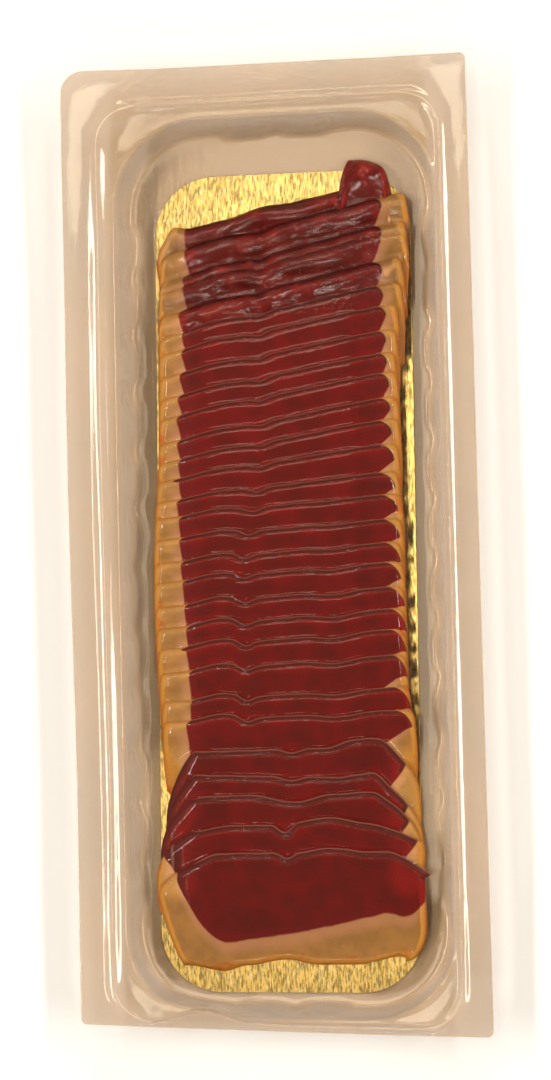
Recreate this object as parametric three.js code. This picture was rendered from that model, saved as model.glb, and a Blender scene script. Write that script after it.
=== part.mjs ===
// Vacuum pack of sliced smoked duck breast: a formed plastic tray with a wide sealing flange, a gold card
// on its floor, twenty-nine slices laid like roof tiles on the card, and the clear film over them.
// Millimetres. +X runs across the pack, +Y along it to the end where the first slice lies, +Z is up.
// The origin is on the underside of the tray floor, below the middle of the flange.

import * as THREE from "three";

// ---------- driving dimensions ----------

const PACK_WIDTH = 121.5;
const PACK_LENGTH = 286.8;
const PLASTIC = 0.5;
const FILM = 0.3;
const GAP = 0.3;

const FLANGE_TOP = 13.5;
const BEAD_TOP = 14.4;
const LEDGE_TOP = 12.8;
const FLOOR_TOP = PLASTIC;

// Distances of the tray's steps from the cut edge, on its four sides. The pack is cut off centre.
const CUT_EDGE = { left: 0, right: 0, bottom: 0, top: 0 };
const BEAD_FOOT = { left: 7.4, right: 6.0, bottom: 1.0, top: 9.0 };
const BEAD_CREST = { left: 10.8, right: 8.4, bottom: 2.1, top: 11.4 };
const BEAD_INNER = { left: 13.9, right: 9.5, bottom: 3.6, top: 13.6 };
const WELL_RIM = { left: 15.5, right: 10.1, bottom: 4.8, top: 16.3 };
const CUT_RADII = [2, 2, 7, 2];
const BEAD_RADIUS = 12;
const WELL_RADIUS = 25;
const CORNER_STEPS = 6;
const TIGHT_STEPS = 3;
const SPREAD_KNOTS = 3;

// The wall of the well runs in from its rim, and ribs stand in from it at the foot.
const WALL_TOP = { inward: 0.7, drop: 0.9 };
const WALL_FOOT = { inward: 1.5, height: 2.2 };
const FLOOR_EDGE = { inward: 2.8 };
const RIB = { depth: 1.7, length: 10.8, flank: 0.8, pitch: 17.6, onSide: 12, onEnd: 2 };

// The thumb notch at one end, where the flange reaches in over an arc for peeling the film.
const NOTCH = { x: -23.6, halfWidth: 16, reach: 3.5 };

// How far the cut ends run out of square, and how far one long side draws in.
const OUT_OF_SQUARE = { bottom: 2.0, top: 0.7, side: 1.8 };

const CARD = { width: 77.5, length: 244, thickness: 0.5, radius: 18, x: 2.85, y: -9.95, turn: -0.5 };

const SLICE = { thickness: 1.4, height: 33.3, lift: 1.75 };
const SLICE_COUNT = 29;
const FIRST_EDGE = 102.1;
const TILE_STEP = 6.55;
const LATE_TILE_STEP = 7.9;
const LATE_FROM = 21;
const LENS_FROM = 24;
const FULL_HEAP_FROM = 5;

// Rows of points along a slice. The first slices bend where those under them end, and need more.
const ROWS = { first: 10, rest: 3 };

// The slices lie at even steps, each a little off its place, and three of them have slipped further.
const SLIPPED = { 2: -1.4, 3: 1.8, 22: -1.6 };
const OFF_PLACE = { by: 0.4, turn: 2.3 };

// The turn of the top edges across the pack, in degrees: it eases along the heap.
const EDGE_TURN = { first: 6, jumbled: 12, early: 9.5, late: 3.5, last: 1.5 };

// The rolled-over end of the first slice, which sticks out past the card.
const ROLL = { left: 21.9, right: 38.2, reach: 9.6, x: 30, y: 109.5, radius: 9, bulge: 3.4 };

// ---------- small helpers ----------

const radians = THREE.MathUtils.degToRad;
const lerp = THREE.MathUtils.lerp;
const smoothstep = THREE.MathUtils.smoothstep;

// A round hump that is 1 in its middle and 0 past its half width.
function hump(distance, halfWidth) {
  return Math.abs(distance) < halfWidth ? Math.cos((distance / halfWidth) * (Math.PI / 2)) ** 2 : 0;
}

function bell(distance, width) {
  return Math.exp(-((distance / width) ** 2));
}

function quad(triangles, a, b, c, d) {
  triangles.push(a, b, c, a, c, d);
}

function solidOf(points, triangles) {
  const geometry = new THREE.BufferGeometry();
  geometry.setAttribute("position", new THREE.Float32BufferAttribute(points.flat(), 3));
  geometry.setIndex(triangles);
  geometry.computeVertexNormals();
  return geometry;
}

function piece(name, geometry, material) {
  const mesh = new THREE.Mesh(geometry, material);
  mesh.name = name;
  return mesh;
}

// ---------- rings: rounded rectangles with knots on their sides ----------

// Distances from the cut edge become the positions of a ring's four sides.
function sidesAt(inset, inward) {
  return {
    left: -PACK_WIDTH / 2 + inset.left + inward,
    right: PACK_WIDTH / 2 - inset.right - inward,
    bottom: -PACK_LENGTH / 2 + inset.bottom + inward,
    top: PACK_LENGTH / 2 - inset.top - inward,
  };
}

// A knot is a place on a side. Its share says how much of a rib's depth it stands in.
function ribKnots(middle, count) {
  const knots = [];
  for (let i = 0; i < count; i += 1) {
    const centre = middle + (i - (count - 1) / 2) * RIB.pitch;
    const half = RIB.length / 2;
    knots.push({ at: centre - half - RIB.flank, share: 0 });
    knots.push({ at: centre - half, share: 1 });
    knots.push({ at: centre + half, share: 1 });
    knots.push({ at: centre + half + RIB.flank, share: 0 });
  }
  return knots;
}

// The ends also have knots spread between the left corner and the first rib, for the thumb notch.
// A ring with a tight corner takes fewer steps round it and more knots, so that its points lie
// beside those of the next ring.
function endKnots(start, steps, ribs) {
  const count = SPREAD_KNOTS + CORNER_STEPS - steps;
  const spread = [];
  for (let i = 1; i <= count; i += 1) {
    spread.push({ at: lerp(start, ribs[0].at, i / (count + 1)), share: 0 });
  }
  return [...spread, ...ribs];
}

function addArc(points, x, y, radius, startDegrees, steps) {
  for (let i = 0; i <= steps; i += 1) {
    const angle = radians(startDegrees + (90 * i) / steps);
    points.push([x + radius * Math.cos(angle), y + radius * Math.sin(angle)]);
  }
}

// The points of one ring, counterclockwise, starting with the arc at the lower right corner.
function ringPoints(sides, radii, knots, ribDepth) {
  const points = [];
  const { left, right, bottom, top } = sides;
  const [lowRight, highRight, highLeft, lowLeft] = radii;
  const steps = lowLeft < WELL_RADIUS / 2 ? TIGHT_STEPS : CORNER_STEPS;
  const acrossLow = endKnots(left + lowLeft, steps, knots.ends);
  const acrossHigh = endKnots(left + highLeft, steps, knots.ends).reverse();
  const down = [...knots.sides].reverse();
  addArc(points, right - lowRight, bottom + lowRight, lowRight, -90, CORNER_STEPS);
  knots.sides.forEach((knot) => points.push([right - ribDepth * knot.share, knot.at]));
  addArc(points, right - highRight, top - highRight, highRight, 0, CORNER_STEPS);
  acrossHigh.forEach((knot) => points.push([knot.at, top - ribDepth * knot.share]));
  addArc(points, left + highLeft, top - highLeft, highLeft, 90, steps);
  down.forEach((knot) => points.push([left + ribDepth * knot.share, knot.at]));
  addArc(points, left + lowLeft, bottom + lowLeft, lowLeft, 180, steps);
  acrossLow.forEach((knot) => points.push([knot.at, bottom + ribDepth * knot.share]));
  return points;
}

// The thumb notch draws a ring in, and the uneven cut moves it by its share of the error.
function uneven([x, y], notchShare, cutShare) {
  const along = y / (PACK_LENGTH / 2);
  const across = x / (PACK_WIDTH / 2);
  const notch = along < 0 ? NOTCH.reach * hump(x - NOTCH.x, NOTCH.halfWidth) : 0;
  const atBottom = OUT_OF_SQUARE.bottom * (1 - across);
  const atTop = -OUT_OF_SQUARE.top * (1 + across);
  const end = (along < 0 ? atBottom : atTop) * along ** 4;
  const drawn = OUT_OF_SQUARE.side * smoothstep(-y, -40, 90) * Math.max(0, -across);
  return [x + cutShare * drawn, y + notchShare * notch + cutShare * end];
}

// One ring of a skin. The height may be a number or a function of the place.
function ring(inset, options) {
  const { inward = 0, z, radii, knots, ribDepth = 0, notch = 0, cut = 0 } = options;
  const flat = ringPoints(sidesAt(inset, inward), radii, knots, ribDepth);
  return flat.map((point) => {
    const [x, y] = uneven(point, notch, cut);
    return [x, y, typeof z === "function" ? z(x, y) : z];
  });
}

function sameRadii(radius) {
  return [radius, radius, radius, radius];
}

// The middle of a ring is closed by rungs from its left side to its right side, facing up.
function addRungs(triangles, start, knots) {
  const arc = CORNER_STEPS + 1;
  const sideCount = knots.sides.length;
  const endCount = knots.ends.length + SPREAD_KNOTS;
  const rungCount = 2 * arc + sideCount;
  const highStart = rungCount;
  const leftStart = highStart + endCount;
  const lowStart = leftStart + rungCount;
  const right = (i) => start + i;
  const left = (i) => start + leftStart + rungCount - 1 - i;
  for (let i = 1; i + 2 < rungCount; i += 1) {
    quad(triangles, left(i), right(i), right(i + 1), left(i + 1));
  }
  let previous = left(0);
  for (let i = 0; i < endCount; i += 1) {
    triangles.push(left(1), previous, start + lowStart + i);
    previous = start + lowStart + i;
  }
  triangles.push(left(1), previous, right(0));
  triangles.push(left(1), right(0), right(1));
  const last = rungCount - 1;
  previous = right(last);
  for (let i = 0; i < endCount; i += 1) {
    triangles.push(right(last - 1), previous, start + highStart + i);
    previous = start + highStart + i;
  }
  triangles.push(right(last - 1), previous, left(last));
  triangles.push(right(last - 1), left(last), left(last - 1));
}

// One skin: strips between the rings, and rungs in the innermost one, facing up.
function addSkin(triangles, rings, start, knots) {
  const perRing = rings[0].length;
  for (let r = 0; r + 1 < rings.length; r += 1) {
    const outer = start + r * perRing;
    const inner = outer + perRing;
    for (let i = 0; i < perRing; i += 1) {
      const next = (i + 1) % perRing;
      quad(triangles, outer + i, outer + next, inner + next, inner + i);
    }
  }
  addRungs(triangles, start + (rings.length - 1) * perRing, knots);
}

// A sheet between two skins of matching rings, closed round its outer edge.
function sheetBetween(upper, lower, knots) {
  const perRing = upper[0].length;
  const lowerStart = upper.length * perRing;
  const triangles = [];
  const under = [];
  addSkin(triangles, upper, 0, knots);
  addSkin(under, lower, lowerStart, knots);
  for (let i = 0; i < under.length; i += 3) {
    triangles.push(under[i], under[i + 2], under[i + 1]);
  }
  for (let i = 0; i < perRing; i += 1) {
    const next = (i + 1) % perRing;
    quad(triangles, i, lowerStart + i, lowerStart + next, next);
  }
  return solidOf([...upper.flat(), ...lower.flat()], triangles);
}

// ---------- tray ----------

const WELL_MIDDLE = {
  x: (WELL_RIM.left - WELL_RIM.right) / 2,
  y: (WELL_RIM.bottom - WELL_RIM.top) / 2,
};

const TRAY_KNOTS = {
  sides: ribKnots(WELL_MIDDLE.y, RIB.onSide),
  ends: ribKnots(WELL_MIDDLE.x, RIB.onEnd),
};

// The steps of the tray from its cut edge to its floor. The underside follows them, lower and further out.
function trayRings(under) {
  const drop = under ? PLASTIC : 0;
  const wallDrop = 0.6 * drop;
  const radii = sameRadii(BEAD_RADIUS);
  const step = (inset, options) => ring(inset, { knots: TRAY_KNOTS, ...options });
  const wall = (inward, out, options) => step(WELL_RIM, {
    inward: inward - out * drop,
    radii: sameRadii(WELL_RADIUS - inward + drop),
    ...options,
  });
  const rimUnder = LEDGE_TOP - WALL_TOP.drop - wallDrop;
  const foot = { z: WALL_FOOT.height - wallDrop, ribDepth: RIB.depth };
  const floor = { z: FLOOR_TOP - drop, ribDepth: 0.9 * RIB.depth };
  return [
    step(CUT_EDGE, { z: FLANGE_TOP - drop, radii: CUT_RADII, cut: 1 }),
    step(BEAD_FOOT, { z: FLANGE_TOP - drop, radii, notch: 1, cut: 1 }),
    step(BEAD_CREST, { z: BEAD_TOP - drop, radii, notch: 1, cut: 0.9 }),
    step(BEAD_INNER, { z: LEDGE_TOP - drop, radii, notch: 0.95, cut: 0.6 }),
    wall(0, 0.8, { z: LEDGE_TOP - drop, notch: 0.8, cut: 0.4 }),
    wall(WALL_TOP.inward, 1, { z: rimUnder, notch: 0.7, cut: 0.3 }),
    wall(WALL_FOOT.inward, 1, { ...foot, notch: 0.6, cut: 0.15 }),
    wall(FLOOR_EDGE.inward, 0.5, { ...floor, notch: 0.5, cut: 0.1 }),
  ];
}

function makeTray() {
  const plastic = new THREE.MeshStandardMaterial({ color: 0xcbb08c, roughness: 0.3, metalness: 0 });
  return piece("tray", sheetBetween(trayRings(false), trayRings(true), TRAY_KNOTS), plastic);
}

// ---------- gold card ----------

const CARD_BOTTOM = FLOOR_TOP + GAP;
const CARD_TOP = CARD_BOTTOM + CARD.thickness;

function makeCard() {
  const halfWidth = CARD.width / 2;
  const halfLength = CARD.length / 2;
  const turnX = halfWidth - CARD.radius;
  const turnY = halfLength - CARD.radius;
  const outline = new THREE.Shape();
  outline.moveTo(halfWidth, -turnY);
  outline.lineTo(halfWidth, turnY);
  outline.absarc(turnX, turnY, CARD.radius, 0, Math.PI / 2);
  outline.lineTo(-turnX, halfLength);
  outline.absarc(-turnX, turnY, CARD.radius, Math.PI / 2, Math.PI);
  outline.lineTo(-halfWidth, -turnY);
  outline.absarc(-turnX, -turnY, CARD.radius, Math.PI, 1.5 * Math.PI);
  outline.lineTo(turnX, -halfLength);
  outline.absarc(turnX, -turnY, CARD.radius, 1.5 * Math.PI, 2 * Math.PI);
  const board = new THREE.ExtrudeGeometry(outline, {
    depth: CARD.thickness, bevelEnabled: false, curveSegments: 8,
  });
  const gold = new THREE.MeshStandardMaterial({ color: 0xe6c25a, roughness: 0.3, metalness: 0.9 });
  const card = piece("gold_card", board, gold);
  card.position.set(CARD.x, CARD.y, CARD_BOTTOM);
  card.rotation.z = radians(CARD.turn);
  return card;
}

// ---------- slices ----------

const HEAP_FLOOR = CARD_TOP + GAP;
const HEAP_MIDDLE = 2.4;

// The parts of a slice's width at which its columns stand, closer where its outline turns.
const COLUMN_PARTS = [0, 0.03, 0.09, 0.17, 0.28, 0.4, 0.5, 0.6, 0.72, 0.83, 0.91, 0.97, 1];
const ROLL_PARTS = [
  0, 0.04, 0.1, 0.2, 0.35, 0.5, 0.62, 0.7, 0.74,
  0.755, 0.78, 0.82, 0.87, 0.91, 0.94, 0.955, 0.98, 1,
];

// Where the lower edge of slice k meets the card. The steps between these are even.
function lowEdgeOf(k) {
  const early = Math.min(k, LATE_FROM) * TILE_STEP;
  const late = Math.max(0, k - LATE_FROM) * LATE_TILE_STEP;
  return FIRST_EDGE - SLICE.height - early - late;
}

// Where the top edge of slice k lies, along the middle of the pack.
function edgeOf(k) {
  const slip = k > 0 ? (SLIPPED[k] ?? 0) + OFF_PLACE.by * Math.sin(OFF_PLACE.turn * k) : 0;
  return lowEdgeOf(k) + SLICE.height + slip;
}

function edgeTurnOf(k) {
  if (k === 0) {
    return EDGE_TURN.first;
  }
  const jumbled = lerp(EDGE_TURN.jumbled, EDGE_TURN.early, smoothstep(k, 3, 7));
  const late = lerp(jumbled, EDGE_TURN.late, smoothstep(k, 10, 15));
  return lerp(late, EDGE_TURN.last, smoothstep(k, 20, 24));
}

// The turn of the heap's layers, which eases from the first slice to the last.
function layerSlope(k) {
  return Math.tan(radians(11 - 0.35 * k));
}

// The fat runs round the outer ends of the slices, and the row of slices is a little wavy.
function leftEndOf(k, edge) {
  const belly = 3 * bell(edge + 7, 38);
  const wide = 6.2 * smoothstep(-edge, 78, 90);
  return -33 - belly - wide;
}

function rightEndOf(k, edge) {
  const high = 3.4 * smoothstep(edge, 50, 88);
  const low = 4.6 * smoothstep(-edge, 45, 92);
  return 39.2 + high + low;
}

// The top edge has a low arch, a notch where two muscles meet, and a dip further on.
function edgeWave(k, x) {
  const late = smoothstep(k, 12, 19);
  const arch = lerp(0.7, 1.5, late) * hump(x + 16, 12);
  const notchPlace = lerp(-2.5, -8.5, smoothstep(k, 11, 17));
  const notch = lerp(0.9, 1.5, late) * bell(x - notchPlace, 2.4);
  const dip = 1.1 * late * bell(x - 18, 6);
  return arch - notch - dip;
}

// A corner is rounded off by part of an ellipse: how far it drops at a distance from the end.
function cornerDrop(fromEnd, width, depth) {
  const part = Math.max(0, 1 - fromEnd / width);
  return depth * (1 - Math.sqrt(1 - part ** 2));
}

function cornersOf(k) {
  if (k >= LENS_FROM) {
    return { highLeft: [13, 7], highRight: [12, 7], lowLeft: [13, 20], lowRight: [8, 6] };
  }
  if (k === 0) {
    return { highLeft: [8, 4], highRight: [2, 2], lowLeft: [12, 14], lowRight: [10, 10] };
  }
  return { highLeft: [3, 2], highRight: [5, 3], lowLeft: [12, 14], lowRight: [10, 10] };
}

// The roll at the end of the first slice reaches out beyond its top edge.
function rollReach(x) {
  const rise = smoothstep(x, ROLL.left, ROLL.left + 5);
  const fall = smoothstep(-x, -ROLL.right, -ROLL.right + 6);
  return ROLL.reach * Math.sqrt(rise * fall);
}

function topOf(k, x, left, right) {
  const { highLeft, highRight } = cornersOf(k);
  const turn = Math.tan(radians(edgeTurnOf(k)));
  const middle = edgeOf(k) + turn * (x - HEAP_MIDDLE) + edgeWave(k, x);
  const roll = k === 0 ? rollReach(x) : 0;
  return middle + roll - cornerDrop(x - left, ...highLeft) - cornerDrop(right - x, ...highRight);
}

function bottomOf(k, x, left, right) {
  const { lowLeft, lowRight } = cornersOf(k);
  const middle = lowEdgeOf(k) + layerSlope(k) * (x - HEAP_MIDDLE);
  return middle + cornerDrop(x - left, ...lowLeft) + cornerDrop(right - x, ...lowRight);
}

// The heap sags towards its outer ends, where the slices thin out.
function sag(x) {
  return 1 - 0.25 * smoothstep(Math.abs(x - HEAP_MIDDLE), 22, 38);
}

// The underside of slice k: it climbs over the slices before it, and lies flat where they end.
function undersideAt(k, x, y) {
  const fromLow = y - lowEdgeOf(k) - layerSlope(k) * (x - HEAP_MIDDLE);
  const climb = (SLICE.lift / TILE_STEP) * Math.max(0, fromLow);
  return HEAP_FLOOR + Math.min(climb, k * SLICE.lift) * sag(x);
}

function thicknessAt(k, x, y) {
  const roll = k === 0 ? ROLL.bulge * hump(Math.hypot(x - ROLL.x, y - ROLL.y), ROLL.radius) : 0;
  return SLICE.thickness * sag(x) + roll;
}

// A slice is a thin slab over a grid of columns from left to right and rows from low to high.
function makeSliceGeometry(k) {
  const left = leftEndOf(k, edgeOf(k));
  const right = rightEndOf(k, edgeOf(k));
  const parts = k === 0 ? ROLL_PARTS : COLUMN_PARTS;
  const rows = k <= FULL_HEAP_FROM ? ROWS.first : ROWS.rest;
  const cols = parts.length;
  const points = [];
  for (const level of [1, 0]) {
    for (const part of parts) {
      const x = lerp(left, right, part);
      const low = bottomOf(k, x, left, right);
      const high = topOf(k, x, left, right);
      for (let j = 0; j < rows; j += 1) {
        const y = lerp(low, high, j / (rows - 1));
        points.push([x, y, undersideAt(k, x, y) + level * thicknessAt(k, x, y)]);
      }
    }
  }
  const over = (i, j) => i * rows + j;
  const under = (i, j) => cols * rows + i * rows + j;
  const lastCol = cols - 1;
  const lastRow = rows - 1;
  const triangles = [];
  for (let i = 0; i < lastCol; i += 1) {
    for (let j = 0; j < lastRow; j += 1) {
      quad(triangles, over(i, j), over(i + 1, j), over(i + 1, j + 1), over(i, j + 1));
      quad(triangles, under(i, j), under(i, j + 1), under(i + 1, j + 1), under(i + 1, j));
    }
    quad(triangles, over(i, 0), under(i, 0), under(i + 1, 0), over(i + 1, 0));
    quad(triangles, over(i + 1, lastRow), under(i + 1, lastRow), under(i, lastRow), over(i, lastRow));
  }
  for (let j = 0; j < lastRow; j += 1) {
    quad(triangles, over(0, j + 1), under(0, j + 1), under(0, j), over(0, j));
    quad(triangles, over(lastCol, j), under(lastCol, j), under(lastCol, j + 1), over(lastCol, j + 1));
  }
  return solidOf(points, triangles);
}

function makeSlices() {
  const slices = new THREE.Group();
  const meat = new THREE.MeshStandardMaterial({ color: 0x701a17, roughness: 0.4, metalness: 0 });
  for (let k = 0; k < SLICE_COUNT; k += 1) {
    const name = `slice_${String(k + 1).padStart(2, "0")}`;
    slices.add(piece(name, makeSliceGeometry(k), meat));
  }
  return slices;
}

// ---------- film ----------

const HEAP_EDGE = { left: 23.9, right: 15.6, bottom: 10.6, top: 25.3 };
const HEAP_RADIUS = 16;
const HEAP_TOP = 12.9;
const FILM_AT_RIM = 0.3;
const GUTTER = { inward: 2.6, height: 6.5 };
const FILM_KNOTS = {
  sides: [-112, -94, -60, -30, 0, 30, 60, 80, 96].map((at) => ({ at, share: 0 })),
  ends: ribKnots(WELL_MIDDLE.x, RIB.onEnd).map(({ at }) => ({ at, share: 0 })),
};

// The height of the film's underside over the heap: a slope at each end and a level stretch between.
function filmOverHeap(x, y) {
  const lastSlice = 3.5 + 0.275 * (y + 128);
  const firstSlices = lerp(HEAP_TOP, 7.6, smoothstep(y, 76, 100));
  const onCard = CARD_TOP + GAP + 0.4;
  return Math.max(onCard, Math.min(HEAP_TOP, lastSlice, firstSlices));
}

// The film lies on the flange and the bead, dips between the well's rim and the heap, and covers the heap.
function filmRings(over) {
  const lift = over ? FILM : 0;
  const onFlange = FLANGE_TOP + GAP + lift;
  const radii = sameRadii(BEAD_RADIUS);
  const step = (inset, options) => ring(inset, { knots: FILM_KNOTS, ...options });
  const wall = (inward, options) => step(WELL_RIM, {
    inward, radii: sameRadii(WELL_RADIUS - inward), ...options,
  });
  return [
    step(CUT_EDGE, { z: onFlange, radii: CUT_RADII, cut: 1 }),
    step(BEAD_FOOT, { z: onFlange, radii, notch: 1, cut: 1 }),
    step(BEAD_CREST, { z: BEAD_TOP + GAP + lift, radii, notch: 1, cut: 0.9 }),
    step(BEAD_INNER, { z: LEDGE_TOP + 2 * GAP + lift, radii, notch: 0.95, cut: 0.6 }),
    wall(FILM_AT_RIM, { z: LEDGE_TOP + 1.5 * GAP + lift, notch: 0.8, cut: 0.4 }),
    wall(GUTTER.inward, { z: GUTTER.height + lift, notch: 0.7 }),
    step(HEAP_EDGE, { z: (x, y) => filmOverHeap(x, y) + lift, radii: sameRadii(HEAP_RADIUS) }),
  ];
}

function makeFilm() {
  const film = new THREE.MeshStandardMaterial({
    color: 0xf4efe6, roughness: 0.1, metalness: 0, transparent: true, opacity: 0.3,
  });
  return piece("top_film", sheetBetween(filmRings(true), filmRings(false), FILM_KNOTS), film);
}

// ---------- the pack ----------

const pack = new THREE.Group();
pack.add(makeTray(), makeCard(), makeSlices(), makeFilm());

export default pack;
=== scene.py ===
# Looks of a vacuum pack of sliced smoked duck breast, laid out as a Blender add-on.
# Places and sizes are in millimetres in the frame of the CAD part, and turn into metres in the meshes.
# +X runs across the pack, +Y along it to the end where the first slice lies, +Z is up.

import math
import random

import bmesh
import bpy
import numpy as np
from bpy.props import FloatProperty, FloatVectorProperty, PointerProperty
from mathutils import Matrix, Vector, noise
from mathutils.bvhtree import BVHTree


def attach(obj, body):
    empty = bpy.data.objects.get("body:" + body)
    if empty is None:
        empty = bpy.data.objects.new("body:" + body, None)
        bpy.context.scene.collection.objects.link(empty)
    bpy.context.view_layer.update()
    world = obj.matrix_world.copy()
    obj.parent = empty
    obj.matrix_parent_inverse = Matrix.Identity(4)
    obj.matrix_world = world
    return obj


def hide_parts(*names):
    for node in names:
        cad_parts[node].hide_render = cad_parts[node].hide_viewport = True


bl_info = {
    "name": "Sliced Duck Breast Pack",
    "version": (1, 0, 0),
    "blender": (4, 5, 0),
    "location": "3D View > Sidebar > Duck Pack",
    "description": "Makes the looks of a vacuum pack of sliced smoked duck breast",
    "category": "Add Mesh",
}

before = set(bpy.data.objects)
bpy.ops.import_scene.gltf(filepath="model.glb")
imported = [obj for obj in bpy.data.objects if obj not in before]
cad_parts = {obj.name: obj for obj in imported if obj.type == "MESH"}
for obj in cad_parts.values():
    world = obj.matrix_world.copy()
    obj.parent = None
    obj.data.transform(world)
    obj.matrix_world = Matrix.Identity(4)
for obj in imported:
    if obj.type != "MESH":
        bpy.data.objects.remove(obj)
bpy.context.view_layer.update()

MM = 0.001

# ---------- sizes of the pack, as in the CAD part ----------

PACK_WIDTH = 121.5
PACK_LENGTH = 286.8
PLASTIC = 0.5
FLANGE_TOP = 13.5
BEAD_TOP = 14.4
LEDGE_TOP = 12.8
FLOOR_TOP = PLASTIC

# Insets from the cut edge: left, right, bottom, top.
CUT_EDGE = (0, 0, 0, 0)
BEAD_FOOT = (7.4, 6.0, 1.0, 9.0)
BEAD_CREST = (10.8, 8.4, 2.1, 11.4)
BEAD_INNER = (13.9, 9.5, 3.6, 13.6)
WELL_RIM = (15.5, 10.1, 4.8, 16.3)
CUT_RADII = (2, 2, 7, 2)
BEAD_RADIUS = 12
WELL_RADIUS = 25
WALL_FOOT_TOP = 2.2
WELL_X = (WELL_RIM[0] - WELL_RIM[1]) / 2
WELL_Y = (WELL_RIM[2] - WELL_RIM[3]) / 2

RIB = {"depth": 1.7, "length": 10.8, "flank": 0.8, "pitch": 17.6, "on_side": 12, "on_end": 2}
NOTCH = {"x": -23.6, "half_width": 16, "reach": 3.5}
OUT_OF_SQUARE = {"bottom": 2.0, "top": 0.7, "side": 1.8}

CARD = {"width": 77.5, "length": 244, "thickness": 0.5, "radius": 18, "x": 2.85, "y": -9.95, "turn": -0.5}
CARD_CORNER_SEGMENTS = 20
GAP = 0.3
CARD_TOP = FLOOR_TOP + GAP + CARD["thickness"]

HEAP_FLOOR = CARD_TOP + GAP
HEAP_MIDDLE = 2.4
SLICE_COUNT = 29
SLICE_HEIGHT = 33.3
SLICE_LIFT = 1.75
FIRST_EDGE = 102.1
TILE_STEP = 6.55
LATE_TILE_STEP = 7.9
LATE_FROM = 21
LENS_FROM = 24
LAST = SLICE_COUNT - 1
JUMBLED = 5
# The slices lie at even steps, each a little off its place, and three of them have slipped further.
SLIPPED = {2: -1.4, 3: 1.8, 22: -1.6}
OFF_PLACE = {"by": 0.4, "turn": 2.3}

# The turn of the top edges across the pack, in degrees: it eases along the heap.
EDGE_TURN = {"jumbled": 12, "early": 9.5, "late": 3.5, "last": 1.5}
ROLL = {
    "x": 29.6, "half_width": 8, "height": 9.6, "fall": 0.45, "tip": 1.2, "tip_x": 24.2,
    "y": 109.5, "radius": 9, "bulge": 3.4,
}


# ---------- small helpers ----------

def shade(red, green, blue):
    """A colour given in screen values from 0 to 255, as linear light."""
    parts = [value / 255 for value in (red, green, blue)]
    return tuple(p / 12.92 if p <= 0.04045 else ((p + 0.055) / 1.055) ** 2.4 for p in parts)


def lerp(a, b, part):
    return a + (b - a) * part


def smoothstep(value, low, high):
    part = np.clip((np.asarray(value, float) - low) / (high - low), 0, 1)
    return part * part * (3 - 2 * part)


def hump(distance, half_width):
    """1 in the middle, and 0 past the half width."""
    distance = np.asarray(distance, float)
    return np.where(np.abs(distance) < half_width, np.cos(distance / half_width * math.pi / 2) ** 2, 0)


def bell(distance, width):
    return np.exp(-((np.asarray(distance, float) / width) ** 2))


def wander(x, y, seed, scale):
    """Smooth noise between about -1 and 1 at points, with features about scale millimetres wide."""
    flat_x, flat_y = np.broadcast_arrays(x, y)
    values = [
        noise.noise((a / scale, b / scale, 7.3 * seed)) for a, b in zip(flat_x.ravel(), flat_y.ravel())
    ]
    return np.array(values).reshape(flat_x.shape)


def add_modifier(piece, kind, **settings):
    """Adds a modifier and applies it."""
    modifier = piece.modifiers.new(kind, kind)
    for name, value in settings.items():
        setattr(modifier, name, value)
    bpy.context.view_layer.objects.active = piece
    bpy.ops.object.modifier_apply(modifier=modifier.name)


def add_grid(name, across, along):
    """Adds a flat grid of points, to be shaped."""
    bpy.ops.object.select_all(action="DESELECT")
    bpy.ops.mesh.primitive_grid_add(x_subdivisions=across - 1, y_subdivisions=along - 1, size=1)
    piece = bpy.context.object
    piece.name = name
    piece.data.name = name
    return piece


def place_points(piece, points):
    """Sets the vertices of a mesh from places in millimetres."""
    piece.data.vertices.foreach_set("co", (np.asarray(points) * MM).astype(np.float32).ravel())
    piece.data.update()


def add_measure(piece, name, values):
    """Stores one number for each vertex, for the shader to read."""
    layer = piece.data.attributes.new(name, "FLOAT", "POINT")
    layer.data.foreach_set("value", np.asarray(values, np.float32).ravel())


def finish_piece(piece, material, slot, *nodes):
    """Gives a piece its material and ties it to the frame."""
    piece.data.materials.clear()
    piece.data.materials.append(material)
    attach(piece, "root")
    if nodes:
        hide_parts(*nodes)


# ---------- shader building ----------

class Wire:
    """A shader socket that can stand in sums. Arithmetic on it adds Math nodes."""

    def __init__(self, paint, socket):
        self.paint = paint
        self.socket = socket

    def math(self, operation, *values):
        return self.paint.node("Math", {"operation": operation}, dict(enumerate(values)))

    def __add__(self, other):
        return self.math("ADD", self, other)

    def __radd__(self, other):
        return self.math("ADD", other, self)

    def __sub__(self, other):
        return self.math("SUBTRACT", self, other)

    def __rsub__(self, other):
        return self.math("SUBTRACT", other, self)

    def __mul__(self, other):
        return self.math("MULTIPLY", self, other)

    def __rmul__(self, other):
        return self.math("MULTIPLY", other, self)

    def __truediv__(self, other):
        return self.math("DIVIDE", self, other)

    def between(self, low, high):
        """0 below low, 1 above high, and a soft step between them. Low may be above high."""
        settings = {"interpolation_type": "SMOOTHSTEP"}
        return self.paint.node("MapRange", settings, {0: self, 1: low, 2: high})


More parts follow.
